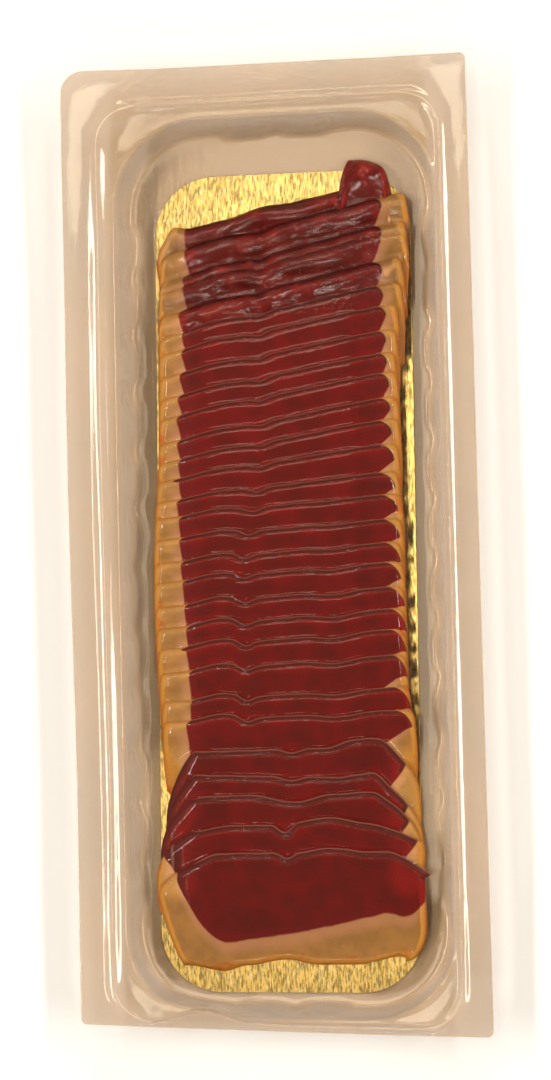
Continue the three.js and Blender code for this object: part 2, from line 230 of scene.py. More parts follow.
class Paint:
    """Builds the nodes of one material."""

    def __init__(self, name):
        self.material = bpy.data.materials.new(name)
        self.material.use_nodes = True
        self.tree = self.material.node_tree
        self.tree.nodes.clear()
        place = self.node("TexCoord", {}, {}, "Object")
        self.place = self.node("VectorMath", {"operation": "SCALE"}, {0: place, "Scale": 1 / MM})

    def node(self, kind, settings, values, output=0):
        """Adds a node. Its settings go first, and then the values or links of its sockets."""
        made = self.tree.nodes.new("ShaderNode" + kind)
        for name, value in settings.items():
            if name == "stops":
                self.set_stops(made.color_ramp, value)
            else:
                setattr(made, name, value)
        for name, value in values.items():
            socket = made.inputs[name]
            if isinstance(value, Wire):
                self.tree.links.new(value.socket, socket)
            elif socket.type == "RGBA":
                socket.default_value = (*value, 1)
            else:
                socket.default_value = value
        return Wire(self, made.outputs[output]) if len(made.outputs) else None

    @staticmethod
    def set_stops(ramp, stops):
        """Sets a ramp's stops from (place, colour) pairs."""
        while len(ramp.elements) < len(stops):
            ramp.elements.new(1)
        for element, (place, colour) in zip(ramp.elements, stops):
            element.position = place
            element.color = (*colour, 1)

    def mix(self, part, first, second):
        """The first colour where part is 0, and the second where it is 1."""
        return self.node("Mix", {"data_type": "RGBA"}, {0: part, 6: first, 7: second}, 2)

    def measure(self, name):
        """A number stored on the mesh."""
        return self.node("Attribute", {"attribute_name": name}, {}, "Fac")

    def moved(self, scale, offset=None):
        """The place, stretched, and shifted by a number where one is given."""
        place = self.node("VectorMath", {"operation": "MULTIPLY"}, {0: self.place, 1: scale})
        if offset is None:
            return place
        shift = self.node("CombineXYZ", {}, {0: offset, 1: offset, 2: offset})
        return self.node("VectorMath", {"operation": "ADD"}, {0: place, 1: shift})

    def noise(self, scale, detail=2.0, roughness=0.5, offset=None):
        """Noise between 0 and 1. The scale is in features for each millimetre along X, Y and Z."""
        values = {"Vector": self.moved(scale, offset), "Scale": 1, "Detail": detail, "Roughness": roughness}
        return self.node("TexNoise", {}, values)

    def cells(self, scale, feature="F1", offset=None):
        """The distance to the nearest of scattered points."""
        values = {"Vector": self.moved(scale, offset), "Scale": 1}
        return self.node("TexVoronoi", {"feature": feature}, values, "Distance")

    def bump(self, height, distance, strength=1.0):
        """A bumped normal. The distance is in millimetres."""
        values = {"Height": height, "Distance": distance * MM, "Strength": strength}
        return self.node("Bump", {}, values)

    def finish(self, shader):
        """Ends the material with a shader."""
        self.node("OutputMaterial", {}, {"Surface": shader})
        return self.material


# ---------- settings that a user would change ----------

class DUCKPACK_PG_tray(bpy.types.PropertyGroup):
    colour: FloatVectorProperty(
        name="Plastic colour", description="Tint of the formed plastic", subtype="COLOR",
        default=shade(222, 182, 124), min=0, max=1,
    )
    opacity: FloatProperty(
        name="Opacity", description="How much each face of the plastic hides",
        default=0.36, min=0, max=1, subtype="FACTOR",
    )
    wave: FloatProperty(
        name="Flange wave", description="How far the flange is out of flat", default=0.25 * MM, unit="LENGTH",
    )


class DUCKPACK_PG_card(bpy.types.PropertyGroup):
    colour: FloatVectorProperty(
        name="Gold colour", description="Colour of the foil on the card", subtype="COLOR",
        default=(0.95, 0.66, 0.2), min=0, max=1,
    )


class DUCKPACK_PG_slices(bpy.types.PropertyGroup):
    thickness: FloatProperty(
        name="Thickness", description="Thickness of one slice", default=1.35 * MM, unit="LENGTH",
    )
    meat: FloatVectorProperty(
        name="Meat colour", description="Colour of the lean meat", subtype="COLOR",
        default=shade(120, 19, 12), min=0, max=1,
    )
    crust: FloatVectorProperty(
        name="Crust colour", description="Colour of the smoked outside of the meat", subtype="COLOR",
        default=shade(72, 29, 23), min=0, max=1,
    )
    fat: FloatVectorProperty(
        name="Fat colour", description="Colour of the fat", subtype="COLOR",
        default=shade(186, 137, 76), min=0, max=1,
    )
    rind: FloatVectorProperty(
        name="Rind colour", description="Colour of the roasted skin", subtype="COLOR",
        default=shade(184, 124, 42), min=0, max=1,
    )


class DUCKPACK_PG_film(bpy.types.PropertyGroup):
    clearance: FloatProperty(
        name="Clearance", description="Gap between the film and what it lies on", default=0.12 * MM,
        unit="LENGTH",
    )
    curl: FloatProperty(
        name="Tightest bend", description="How sharply the film can turn in a corner, in 1/mm",
        default=3.0, min=0.1,
    )


class DUCKPACK_PG_stage(bpy.types.PropertyGroup):
    azimuth: FloatProperty(
        name="Azimuth", description="Where the camera stands round the pack", default=math.radians(60),
        unit="ROTATION",
    )
    elevation: FloatProperty(
        name="Elevation", description="How high the camera stands", default=math.radians(81), unit="ROTATION",
    )
    roll: FloatProperty(
        name="Roll", description="Turn of the camera about its own line", default=math.radians(-1.253),
        unit="ROTATION",
    )
    distance: FloatProperty(
        name="Distance", description="From the camera to its target", default=0.62, unit="LENGTH",
    )
    target: FloatVectorProperty(
        name="Target", description="The point that the camera looks at", default=(0.00054, 0.0007, 0.007),
        unit="LENGTH",
    )
    floor: FloatVectorProperty(
        name="Floor colour", description="Colour of the floor", subtype="COLOR", default=(0.93, 0.96, 1.0),
        min=0, max=1,
    )


# ---------- outline of the tray, shared by the tray and the film ----------

def sides_at(inset, inward=0.0):
    """Left, right, bottom and top of a rounded rectangle inside the cut edge."""
    left, right, bottom, top = inset
    return (
        -PACK_WIDTH / 2 + left + inward,
        PACK_WIDTH / 2 - right - inward,
        -PACK_LENGTH / 2 + bottom + inward,
        PACK_LENGTH / 2 - top - inward,
    )


def uneven(x, y, notch_share, cut_share):
    """Draws the outline in at the thumb notch and lets the cut run out of square."""
    along = y / (PACK_LENGTH / 2)
    across = x / (PACK_WIDTH / 2)
    notch = np.where(along < 0, NOTCH["reach"] * hump(x - NOTCH["x"], NOTCH["half_width"]), 0)
    at_bottom = OUT_OF_SQUARE["bottom"] * (1 - across)
    at_top = -OUT_OF_SQUARE["top"] * (1 + across)
    end = np.where(along < 0, at_bottom, at_top) * along ** 4
    drawn = OUT_OF_SQUARE["side"] * smoothstep(-y, -40, 90) * np.maximum(0, -across)
    return x + cut_share * drawn, y + notch_share * notch + cut_share * end


def step_of(inset, height, radius, inward=0.0, rib=0.0, notch=0.0, cut=0.0):
    """One step of the tray's profile. A radius may be one number or one for each corner.

    Rib, notch and cut are shares of the ribs' depth, of the thumb notch and of the uneven cut.
    """
    radii = radius if isinstance(radius, tuple) else (radius,) * 4
    return {
        "sides": sides_at(inset, inward), "z": height, "radii": radii,
        "rib": rib * RIB["depth"], "notch": notch, "cut": cut,
    }


TRAY_STEPS = [
    step_of(CUT_EDGE, FLANGE_TOP - 0.15, CUT_RADII, cut=1),
    step_of(CUT_EDGE, FLANGE_TOP, CUT_RADII, inward=0.3, cut=1),
    step_of(BEAD_FOOT, FLANGE_TOP + 0.03, BEAD_RADIUS, inward=-0.4, notch=1, cut=1),
    step_of(BEAD_FOOT, FLANGE_TOP + 0.2, BEAD_RADIUS, inward=0.3, notch=1, cut=1),
    step_of(BEAD_CREST, BEAD_TOP + 0.15, BEAD_RADIUS, inward=-0.5, notch=1, cut=0.9),
    step_of(BEAD_CREST, BEAD_TOP + 0.1, BEAD_RADIUS, inward=0.4, notch=1, cut=0.9),
    step_of(BEAD_INNER, LEDGE_TOP, BEAD_RADIUS, notch=0.95, cut=0.6),
    step_of(WELL_RIM, LEDGE_TOP + 0.05, WELL_RADIUS, inward=-0.3, notch=0.8, cut=0.4),
    step_of(WELL_RIM, LEDGE_TOP - 0.9, WELL_RADIUS - 0.7, inward=0.6, notch=0.7, cut=0.3),
    step_of(WELL_RIM, WALL_FOOT_TOP + 1.2, WELL_RADIUS - 1.4, inward=1.3, rib=0.75, notch=0.6, cut=0.15),
    step_of(WELL_RIM, WALL_FOOT_TOP - 0.6, WELL_RADIUS - 1.6, inward=1.6, rib=1, notch=0.6, cut=0.15),
    step_of(WELL_RIM, FLOOR_TOP + 0.03, WELL_RADIUS - 2.8, inward=2.6, rib=0.9, notch=0.5, cut=0.1),
    step_of(WELL_RIM, FLOOR_TOP, WELL_RADIUS - 4.2, inward=4.2, rib=0.5, notch=0.4, cut=0.1),
]
SHARES = ("rib", "notch", "cut")
RIM_STEP = 7
FLOOR_STEP = 11
CORNER_SEGMENTS = 10


def rib_knots(middle, count):
    """Where the ribs begin and end along a side."""
    half = RIB["length"] / 2
    flank = RIB["flank"]
    centres = [middle + (i - (count - 1) / 2) * RIB["pitch"] for i in range(count)]
    return [centre + shift for centre in centres for shift in (-half - flank, -half, half, half + flank)]


def rib_share(at, middle, count):
    """How far a place on a side stands in on a rib, from 0 to 1."""
    knots = rib_knots(middle, count)
    return np.interp(at, knots, [0, 1, 1, 0] * count)


def flange_lift(x, y):
    """The flange is a little wavy, and it curls up at one corner."""
    along = y / (PACK_LENGTH / 2)
    across = x / (PACK_WIDTH / 2)
    outside = smoothstep(np.abs(x), 44, 56) + smoothstep(np.abs(y), 128, 140)
    wave = 0.5 * np.sin(y / 31 + 1.2 * across) + 0.35 * np.sin(y / 13 + 2 * across)
    wave = wave + 0.3 * np.sin(x / 11 + along)
    curl = 1.6 * smoothstep(along - across, 1.45, 2.0) + 0.7 * smoothstep(along + across, 1.6, 2.0)
    flare = -0.8 * smoothstep(-along - across, 1.6, 2.0) - 0.9 * smoothstep(across - along, 1.6, 2.0)
    return np.minimum(outside, 1) * wave, curl + flare


# ---------- tray ----------

def choose(mesh, test):
    """Selects the vertices for which the test holds, in edit mode."""
    bpy.ops.mesh.select_all(action="DESELECT")
    shape = bmesh.from_edit_mesh(mesh)
    for vertex in shape.verts:
        vertex.select = bool(test(vertex))
    shape.select_flush(True)
    shape.select_flush(False)
    bmesh.update_edit_mesh(mesh)


def choose_rings(mesh, *numbers):
    """Selects whole rings of the tray, in edit mode."""
    ring = bmesh.from_edit_mesh(mesh).verts.layers.float["ring"]
    choose(mesh, lambda vertex: round(vertex[ring]) in numbers)


def add_ring(mesh, number, step):
    """Adds one rounded rectangle to the tray: a plane whose corners are bevelled."""
    left, right, bottom, top = (value * MM for value in step["sides"])
    height = step["z"] * MM
    centre = ((left + right) / 2, (bottom + top) / 2, height)
    bpy.ops.mesh.primitive_plane_add(size=1, location=centre)
    bpy.ops.transform.resize(value=(right - left, top - bottom, 1), center_override=centre)
    corners = [(right, bottom), (right, top), (left, top), (left, bottom)]
    for corner, radius in zip(corners, step["radii"]):
        at = Vector((*corner, height))
        choose(mesh, lambda vertex: (vertex.co - at).length < 1e-6)
        bpy.ops.mesh.bevel(
            offset=radius * MM, offset_type="OFFSET", segments=CORNER_SEGMENTS, affect="VERTICES",
        )
    shape = bmesh.from_edit_mesh(mesh)
    for vertex in shape.verts:
        if vertex[shape.verts.layers.float["ring"]] < 0.5:
            vertex[shape.verts.layers.float["ring"]] = number + 1
            for name in SHARES:
                vertex[shape.verts.layers.float[name]] = step[name]
    bmesh.update_edit_mesh(mesh)


def join_rings(mesh):
    """Joins the rings into one skin and closes the floor."""
    bpy.ops.mesh.select_all(action="SELECT")
    bpy.ops.mesh.delete(type="ONLY_FACE")
    for number in range(1, len(TRAY_STEPS)):
        choose_rings(mesh, number, number + 1)
        bpy.ops.mesh.bridge_edge_loops()
    choose_rings(mesh, len(TRAY_STEPS))
    bpy.ops.mesh.edge_face_add()


def cut_across(places, axis):
    """Cuts the whole skin at places along an axis."""
    for place in places:
        point = [0, 0, 0]
        direction = [0, 0, 0]
        point[axis] = place * MM
        direction[axis] = 1
        bpy.ops.mesh.select_all(action="SELECT")
        bpy.ops.mesh.bisect(plane_co=point, plane_no=direction)


def push_ribs(mesh):
    """Stands the ribs in from the foot of the wall, and draws the outline uneven."""
    shape = bmesh.from_edit_mesh(mesh)
    layers = shape.verts.layers.float
    for vertex in shape.verts:
        x, y = vertex.co.x / MM, vertex.co.y / MM
        depth = vertex[layers["rib"]]
        if depth > 0:
            on_side = float(rib_share(y, WELL_Y, RIB["on_side"]))
            on_end = float(rib_share(x, WELL_X, RIB["on_end"]))
            if abs(x - WELL_X) > 38:
                x -= math.copysign(depth * on_side, x - WELL_X)
            elif abs(y - WELL_Y) > 120:
                y -= math.copysign(depth * on_end, y - WELL_Y)
        x, y = uneven(x, y, vertex[layers["notch"]], vertex[layers["cut"]])
        vertex.co.x, vertex.co.y = float(x) * MM, float(y) * MM
    bmesh.update_edit_mesh(mesh)


def lift_flange(piece, wave_height):
    """Takes the flange out of flat."""
    count = len(piece.data.vertices)
    points = np.empty(count * 3, np.float32)
    piece.data.vertices.foreach_get("co", points)
    points = points.reshape(-1, 3).astype(float) / MM
    wave, curl = flange_lift(points[:, 0], points[:, 1])
    share = smoothstep(points[:, 2], 3, 12)
    points[:, 2] += share * (wave_height / MM * wave + curl)
    place_points(piece, points)


def make_tray_skin(wave_height):
    """The upper skin of the tray, one surface from the cut edge to the floor."""
    bpy.ops.object.select_all(action="DESELECT")
    bpy.ops.mesh.primitive_plane_add(size=1)
    piece = bpy.context.object
    piece.name = piece.data.name = "formed_tray"
    mesh = piece.data
    bpy.ops.object.mode_set(mode="EDIT")
    bpy.ops.mesh.delete(type="VERT")
    shape = bmesh.from_edit_mesh(mesh)
    for name in ("ring", *SHARES):
        shape.verts.layers.float.new(name)
    bmesh.update_edit_mesh(mesh)
    for number, step in enumerate(TRAY_STEPS):
        add_ring(mesh, number, step)
    join_rings(mesh)
    notch_cuts = [NOTCH["x"] + shift for shift in (-16, -12, -8, -4, 0, 4, 8, 12)]
    cut_across(rib_knots(WELL_Y, RIB["on_side"]), 1)
    cut_across(rib_knots(WELL_X, RIB["on_end"]) + notch_cuts, 0)
    push_ribs(mesh)
    bpy.ops.mesh.select_all(action="SELECT")
    bpy.ops.mesh.remove_doubles(threshold=1e-6)
    bpy.ops.mesh.normals_make_consistent(inside=False)
    shape = bmesh.from_edit_mesh(mesh)
    if sum(face.normal.z * face.calc_area() for face in shape.faces) < 0:
        bpy.ops.mesh.flip_normals()
    bpy.ops.object.mode_set(mode="OBJECT")
    add_modifier(piece, "SUBSURF", levels=1, render_levels=1)
    lift_flange(piece, wave_height)
    return piece


def plastic_material(settings):
    """Thin formed plastic: cloudy tan, glossy, with faint draw lines and a few specks. Its low floor is
    greyer, and painted lighter to make up for the shade in the well.
    """
    paint = Paint("formed_plastic")
    cloud = paint.noise((0.05, 0.02, 0.1), 3)
    streak = paint.noise((0.9, 0.02, 0.5), 3)
    height = paint.node("SeparateXYZ", {}, {0: paint.place}, 2)
    low = height.between(6, 1)
    wall = height.between(0.9, 2.4) * height.between(12.6, 11.0)
    tint = Vector(settings.colour)
    deep = tuple(tint * 0.86)
    # Painted light: the low floor of the well is greyer, as the thin plastic there looks, and painted lighter
    # than the tint to make up for the shade that falls in the well.
    grey_painted_lighter = (tint.x * 1.06, tint.y * 1.1, tint.z * 1.25)
    colour = paint.mix(cloud.between(0.3, 0.7), deep, tuple(tint))
    colour = paint.mix(low * 0.75, colour, grey_painted_lighter)
    specks = paint.cells((0.28, 0.28, 0.28)).between(0.035, 0.02) * low
    colour = paint.mix(specks, colour, tuple(tint * 0.3))
    bump = paint.bump(0.5 * streak + 0.3 * cloud, 0.12, 0.5)
    return paint.finish(paint.node("BsdfPrincipled", {}, {
        "Base Color": colour,
        "Roughness": 0.03 + 0.03 * cloud,
        "Alpha": settings.opacity * (1 - 0.2 * wall) + specks * 0.5,
        "IOR": 1.5,
        "Normal": bump,
    }))


class DUCKPACK_OT_tray(bpy.types.Operator):
    """Make the formed plastic tray with its flange, bead, well and ribs"""
    bl_idname = "duckpack.make_tray"
    bl_label = "Make Tray"

    def execute(self, context):
        settings = context.scene.duckpack_tray
        piece = make_tray_skin(settings.wave)
        add_modifier(piece, "SOLIDIFY", thickness=PLASTIC * MM, offset=-1)
        bpy.ops.object.shade_smooth_by_angle(angle=math.radians(50))
        finish_piece(piece, plastic_material(settings), "plastic", "tray")
        return {"FINISHED"}


# ---------- card ----------

def foil_material(settings):
    """Gold foil rolled with fine lines along the card, and dark specks in them."""
    paint = Paint("gold_foil")
    lines = paint.noise((2.4, 0.35, 1.0), 4, 0.6)
    rolled = paint.noise((1.5, 0.24, 1.0), 1)
    fleck = paint.noise((1.7, 0.4, 1.0), 4, 0.65)
    patch = paint.noise((0.12, 0.05, 1.0), 2)
    gold = Vector(settings.colour)
    colour = paint.mix(fleck.between(0.38, 0.6), tuple(gold * 0.32), tuple(gold * 0.9))
    colour = paint.mix(lines.between(0.54, 0.68) * 0.6, colour, (1.0, 0.88, 0.55))
    bump = paint.bump(rolled + 0.15 * fleck, 0.045, 1.0)
    return paint.finish(paint.node("BsdfPrincipled", {}, {
        "Base Color": colour,
        "Metallic": 1.0,
        "Roughness": 0.27 + 0.08 * patch,
        "Normal": bump,
    }))


class DUCKPACK_OT_card(bpy.types.Operator):
    """Make the gold card that the slices lie on"""
    bl_idname = "duckpack.make_card"
    bl_label = "Make Card"

    def execute(self, context):
        bpy.ops.object.select_all(action="DESELECT")
        bpy.ops.mesh.primitive_plane_add(size=1)
        piece = context.object
        piece.name = piece.data.name = "foil_card"
        place = (CARD["x"] * MM, CARD["y"] * MM, CARD_TOP * MM)
        bpy.ops.object.mode_set(mode="EDIT")
        size = (CARD["width"] * MM, CARD["length"] * MM, 1)
        bpy.ops.transform.resize(value=size, center_override=(0, 0, 0))
        bpy.ops.mesh.bevel(
            offset=CARD["radius"] * MM, offset_type="OFFSET", affect="VERTICES",
            segments=CARD_CORNER_SEGMENTS,
        )
        bpy.ops.object.mode_set(mode="OBJECT")
        piece.data.transform(
            Matrix.Translation(place) @ Matrix.Rotation(math.radians(CARD["turn"]), 4, "Z")
        )
        add_modifier(piece, "SOLIDIFY", thickness=CARD["thickness"] * MM, offset=-1)
        add_modifier(piece, "BEVEL", width=0.08 * MM, segments=2, limit_method="ANGLE")
        bpy.ops.object.shade_flat()
        finish_piece(piece, foil_material(context.scene.duckpack_card), "gold", "gold_card")
        return {"FINISHED"}


# ---------- slices: where each one lies ----------

# The slices that lie apart from the row: the first, whose end is rolled up, and the last five, which are
# cut from the thin end of the breast. Each has a height and a tilt, waves (place, half width, height), and
# for each end its place, where the corner starts to fall, and how steeply.
ODD_SLICES = {
    0: {
        "middle": 101.9, "tilt": 0.2, "waves": [(-29, 5, 1.4), (-2, 10, 1.0)],
        "left": (-34.6, -30, 1.6), "right": (42.8, 34.5, 5),
    },
    24: {
        "middle": -60.7, "tilt": 0.01, "waves": [(4.5, 5, -1.1), (22.5, 8, 2.1), (29.5, 7.5, 2.2)],
        "left": (-34.6, -24, 1.9), "right": (41.6, 30, 0.95),
    },
    25: {
        "middle": -68.6, "tilt": -0.035, "waves": [(4, 6, -1.1), (23.5, 6, 0.9), (28.5, 5.5, 1.4)],
        "left": (-34.6, -23.5, 1.4), "right": (41.8, 28, 1.05),
    },
    26: {
        "middle": -73.9, "tilt": 0, "waves": [(-28, 8, -1.4), (4.5, 12, -2.1), (25, 7, 0.5)],
        "left": (-36.2, -25.5, 1.5), "right": (42.2, 28, 1.0),
    },
    27: {
        "middle": -82.6, "tilt": 0, "waves": [(-26, 12, -1.6), (2, 4, -2.2), (14.5, 14, 2.0)],
        "left": (-37.4, -25, 1.1), "right": (42.4, 26.5, 0.45),
    },
    28: {
        "middle": -90.6, "tilt": 0, "waves": [(1, 4, -1.6), (14.5, 12, 1.2)],
        "left": (-37.4, -19.5, 0.55), "right": (44.2, 31, 0.7),
    },
}
CORNER_SOFTNESS = 4

# How far the ends of a slice draw in where the next slices cover it.
TUCK = 3

# The last slice shows whole. Its lower edge has waves too, and its ends are rounded.
LAST_LOW = {"middle": -123.9, "waves": [(-24, 11, -1.7), (0, 13, 1.6), (38, 10, 2.3)]}
LAST_ENDS = {"foot": -126.6, "left_foot": -26, "left_reach": 11.4, "right": 42, "tip": 2.2, "tip_y": -98.1}

# How far inside the right end the lean of a late slice has its tip.
LENS_TIP = {"inset": 3, "inset_beside_last": 0.4}


def edge_of(k):
    """Where the top edge of slice k lies, along the middle of the pack."""
    slip = SLIPPED.get(k, 0) + OFF_PLACE["by"] * math.sin(OFF_PLACE["turn"] * k)
    return low_edge_of(k) + SLICE_HEIGHT + slip


def edge_turn_of(k):
    """The turn of the top edge of slice k in degrees."""
    jumbled = lerp(EDGE_TURN["jumbled"], EDGE_TURN["early"], float(smoothstep(k, 3, 7)))
    late = lerp(jumbled, EDGE_TURN["late"], float(smoothstep(k, 10, 15)))
    return lerp(late, EDGE_TURN["last"], float(smoothstep(k, 20, 24)))


def low_edge_of(k):
    """Where the lower edge of slice k meets the card."""
    return FIRST_EDGE - SLICE_HEIGHT - min(k, LATE_FROM) * TILE_STEP - max(0, k - LATE_FROM) * LATE_TILE_STEP


def layer_slope(k):
    """The turn of the heap's layers, which eases from the first slice to the last."""
    return math.tan(math.radians(11 - 0.35 * k))


def waves_at(x, waves):
    return sum(height * hump(x - place, half_width) for place, half_width, height in waves)


def fallen(past, slope):
    """How far a corner has fallen at a distance past its start. It starts softly."""
    past = np.maximum(0, past)
    return slope * past ** 2 / (past + CORNER_SOFTNESS)


def ends_of(k):
    """The left and right ends of slice k."""
    if k in ODD_SLICES:
        return ODD_SLICES[k]["left"][0], ODD_SLICES[k]["right"][0]
    edge = edge_of(k)
    left = -33.7 - 2.6 * float(bell(edge + 7, 38))
    right = 38.4 + 3.8 * float(smoothstep(edge, 50, 88)) + 3.2 * float(smoothstep(-edge, 25, 70))
    return left, right


def odd_top(k, x):
    """The top edge of a slice that lies apart from the row."""
    shape = ODD_SLICES[k]
    top = shape["middle"] + shape["tilt"] * (x - HEAP_MIDDLE) + waves_at(x, shape["waves"])
    _, left_start, left_slope = shape["left"]
    _, right_start, right_slope = shape["right"]
    top = top - fallen(left_start - x, left_slope) - fallen(x - right_start, right_slope)
    if k >= LENS_FROM:
        top = top - corner_drop(x - shape["left"][0], 5, 5)
        if k < LAST - 1:
            top = top - corner_drop(shape["right"][0] - x, 8, 5)
    if k == 0:
        across = np.clip(np.abs(x - ROLL["x"]) / ROLL["half_width"], 0, 1)
        height = ROLL["height"] - ROLL["fall"] * (x - ROLL["tip_x"])
        top = top + height * np.sqrt(1 - across ** 2) + ROLL["tip"] * bell(x - ROLL["tip_x"], 1.3)
    return top


def last_ends_at(y):
    """The left and right ends of the last slice at a place along the pack."""
    above = np.maximum(0, y - LAST_ENDS["foot"]) / 26.6
    left = LAST_ENDS["left_foot"] - LAST_ENDS["left_reach"] * above ** 0.45 + 4 * smoothstep(y, -104, -92)
    rounding = np.clip((-112 - y) / 11, 0, 1)
    right = LAST_ENDS["right"] - 6.5 * (1 - np.sqrt(1 - rounding ** 2))
    return left, right + LAST_ENDS["tip"] * smoothstep(y - LAST_ENDS["tip_y"], -0.8, 0.7)


def edge_wave(k, x):
    """The top edge has a low arch, a notch where two muscles meet, and a dip further on."""
    late = float(smoothstep(k, 12, 19))
    notch_place = lerp(-2.5, -8.5, float(smoothstep(k, 11, 17)))
    arch = lerp(0.7, 1.5, late) * hump(x + 16, 12)
    notch = lerp(0.9, 1.5, late) * bell(x - notch_place, 2.4)
    dip = 1.1 * late * bell(x - 18, 6)
    return arch - notch - dip


def corner_drop(from_end, width, depth):
    part = np.maximum(0, 1 - from_end / width)
    return depth * (1 - np.sqrt(np.maximum(0, 1 - part ** 2)))


def top_of(k, x):
    """The top edge of slice k."""
    if k in ODD_SLICES:
        return odd_top(k, x)
    left, right = ends_of(k)
    turn = math.tan(math.radians(edge_turn_of(k)))
    middle = edge_of(k) + turn * (x - HEAP_MIDDLE) + edge_wave(k, x)
    return middle - corner_drop(x - left, 2.2, 1.8) - corner_drop(right - x, 3.5, 2.6)


def bottom_of(k, x):
    """The lower edge of slice k, which the next slices cover except on the last."""
    if k == LAST:
        return LAST_LOW["middle"] + waves_at(x, LAST_LOW["waves"])
    left, right = ends_of(k)
    middle = low_edge_of(k) + layer_slope(k) * (x - HEAP_MIDDLE)
    return middle + corner_drop(x - left, 12, 14) + corner_drop(right - x, 10, 10)


def sag(x):
    """The heap sags towards its outer ends, where the slices thin out."""
    return 1 - 0.25 * smoothstep(np.abs(x - HEAP_MIDDLE), 22, 38)


def underside_at(k, x, y):
    """The underside of slice k climbs over the slices before it, and lies flat where they end."""
    from_low = y - low_edge_of(k) - layer_slope(k) * (x - HEAP_MIDDLE)
    climb = SLICE_LIFT / TILE_STEP * np.maximum(0, from_low)
    return HEAP_FLOOR + np.minimum(climb, k * SLICE_LIFT) * sag(x)


# ---------- slices: lean, fat and rind ----------

def lean_tips(edge):
    """Where the lean ends on the left and on the right of a slice whose top edge lies there."""
    return -26.0 - 1.9 * float(bell(edge - 28, 36)), lerp(39.6, 34.4, float(smoothstep(edge, -75, 95)))


def last_lean_edge(x):
    """The lower edge of the lean on the last slice: it climbs to the right, and bends up at the left."""
    past = np.maximum(0, x + 16)
    before = np.maximum(0, -16 - x)
    return -116.9 + 0.09 * past + 0.002 * past ** 2 + 0.085 * before ** 2 - 3.0 * hump(x - 36.8, 7.5)


def lean_of(k, x, y, below, chance):
    """How far inside the lean a point lies, and how far inside its crust. It is negative in the fat."""
    left, right = ends_of(k)
    if k == LAST:
        side = x + 30.6
        lean = np.minimum.reduce([(y - last_lean_edge(x)) * 0.85, side, last_ends_at(y)[1] - x])
        return lean, 0.8 * side + 0.1
    if k >= LENS_FROM:
        tip_x = right - LENS_TIP["inset" if k < LAST - 1 else "inset_beside_last"]
        tip_y = float(odd_top(k, tip_x))
        lower = np.maximum(0, tip_y + 4 - y)
        past = tip_x - x - lower ** 2 / (lower + 5)
        side = x + 31.3 if k == LAST - 1 else x - left - 0.1
        flap = (y + 89 + 1.4 * (x + 36.5)) * 0.6 if k == LAST - 1 else side
        return np.minimum(np.maximum(side, flap), past), np.minimum(side, np.maximum(past, tip_y - y) * 1.2)
    if k == 0:
        return np.minimum(x + 25.4, 38.4 - x - 2.8 * smoothstep(-y, -103, -97)), below
    tip_left, tip_right = lean_tips(edge_of(k))
    tip_left += chance.uniform(-0.6, 0.6)
    tip_right += chance.uniform(-0.5, 0.5)
    pointed = float(smoothstep(k, 8, 13))
    depth = lerp(3.6, 5.0, pointed) + chance.uniform(-0.4, 0.4)
    rounded = lerp(3.0, 5.6, pointed)
    above = np.maximum(0, 1 - below / depth)
    curve = lerp(1 - np.sqrt(np.maximum(0, 1 - above ** 2)), above ** 1.4, 0.3 * pointed)
    past = tip_right - rounded * curve - lerp(0.5, 1.7, pointed) * np.maximum(0, below - depth) - x
    start = np.maximum(0, 1 - below / 1.4)
    slant = lerp(0.2, 0.06, float(smoothstep(k, 9, 14)))
    side = x - tip_left - 1.5 * start ** 2 - slant * np.maximum(0, below - 1.4)
    rim = np.where(below < depth + 0.4, 1.5 * past + 0.3, 9)
    hook = chance.random() < 0.25 and k > 11
    reach = 2.6 * bell(below - 0.7, 0.45) if hook else 0
    return np.minimum(side + reach, past), rim


def relief_of(k, x, y, down, chance):
    """How far the top of a slice stands out of its even slab."""
    seed = chance.uniform(0, 90)
    shallow = 0.12 * wander(x, y, seed, 9) * smoothstep(down, 0.8, 3)
    lobe = 0.5 * hump(down - 3.3, 3.6) * smoothstep(np.abs(x - 5), 31.5, 35.5)
    if k >= LENS_FROM:
        return shallow
    if k >= JUMBLED:
        return shallow * (1 - 0.6 * smoothstep(down, 5, 8)) + lobe
    log = 2.1 * hump(down - 3.4, 4.2) * (1 + 0.9 * wander(x, y, seed + 3, 12))
    lumps = 1.3 * wander(x, y, seed + 5, 6.5) + 0.15 * wander(x, y, seed + 9, 2.6)
    if k == 0:
        over = x - ROLL["x"]
        crease = 1.5 * bell(y - 108 - 0.25 * over, 1.0) * hump(over, ROLL["half_width"])
        log = log * (1 - smoothstep(y, 103, 106)) - crease
    return log + lumps * smoothstep(down, 0.2, 1.6) * (1 - smoothstep(down, 6, 9))


